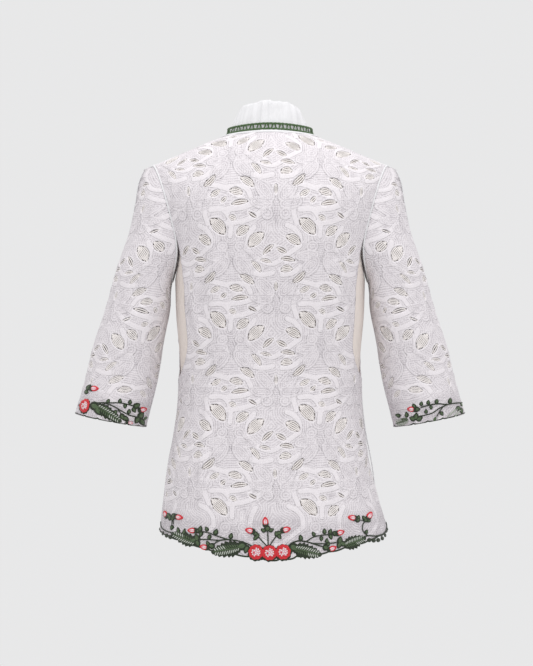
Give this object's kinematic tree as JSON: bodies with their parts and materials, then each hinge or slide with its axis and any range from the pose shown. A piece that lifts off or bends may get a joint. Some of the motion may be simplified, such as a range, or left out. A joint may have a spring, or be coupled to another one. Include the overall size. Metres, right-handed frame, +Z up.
{
  "type": "kebaya blouse",
  "caption": "White butterfly-lace kebaya blouse over a plain lining, with gathered stand collar, green neck band and flower hems, as worn.",
  "frame": {"origin": "on the neck's axis, at the height of the neck edge's sides, where the wearer's neck and shoulders hold the blouse", "axes": "+Z up along the body, +Y towards the blouse's back, +X towards the wearer's left"},
  "size_m": [0.6618, 0.2858, 0.7666],
  "materials": {
    "lace": "matte guipure lace",
    "lining": "plain woven, matte",
    "collar_cotton": "soft gathered cotton",
    "binding_cotton": "matte",
    "green_crochet": "matte thread"
  },
  "bodies": {
    "root": {"lace_back": "lace", "lace_front_left": "lace", "lace_front_right": "lace", "sleeve_left_back": "lace", "sleeve_left_front": "lace", "sleeve_right_back": "lace", "sleeve_right_front": "lace", "lining_back": "lining", "lining_front_left": "lining", "lining_front_right": "lining", "collar": "collar_cotton", "neck_binding": "binding_cotton", "neck_trim": "green_crochet"}
  },
  "joints": []
}
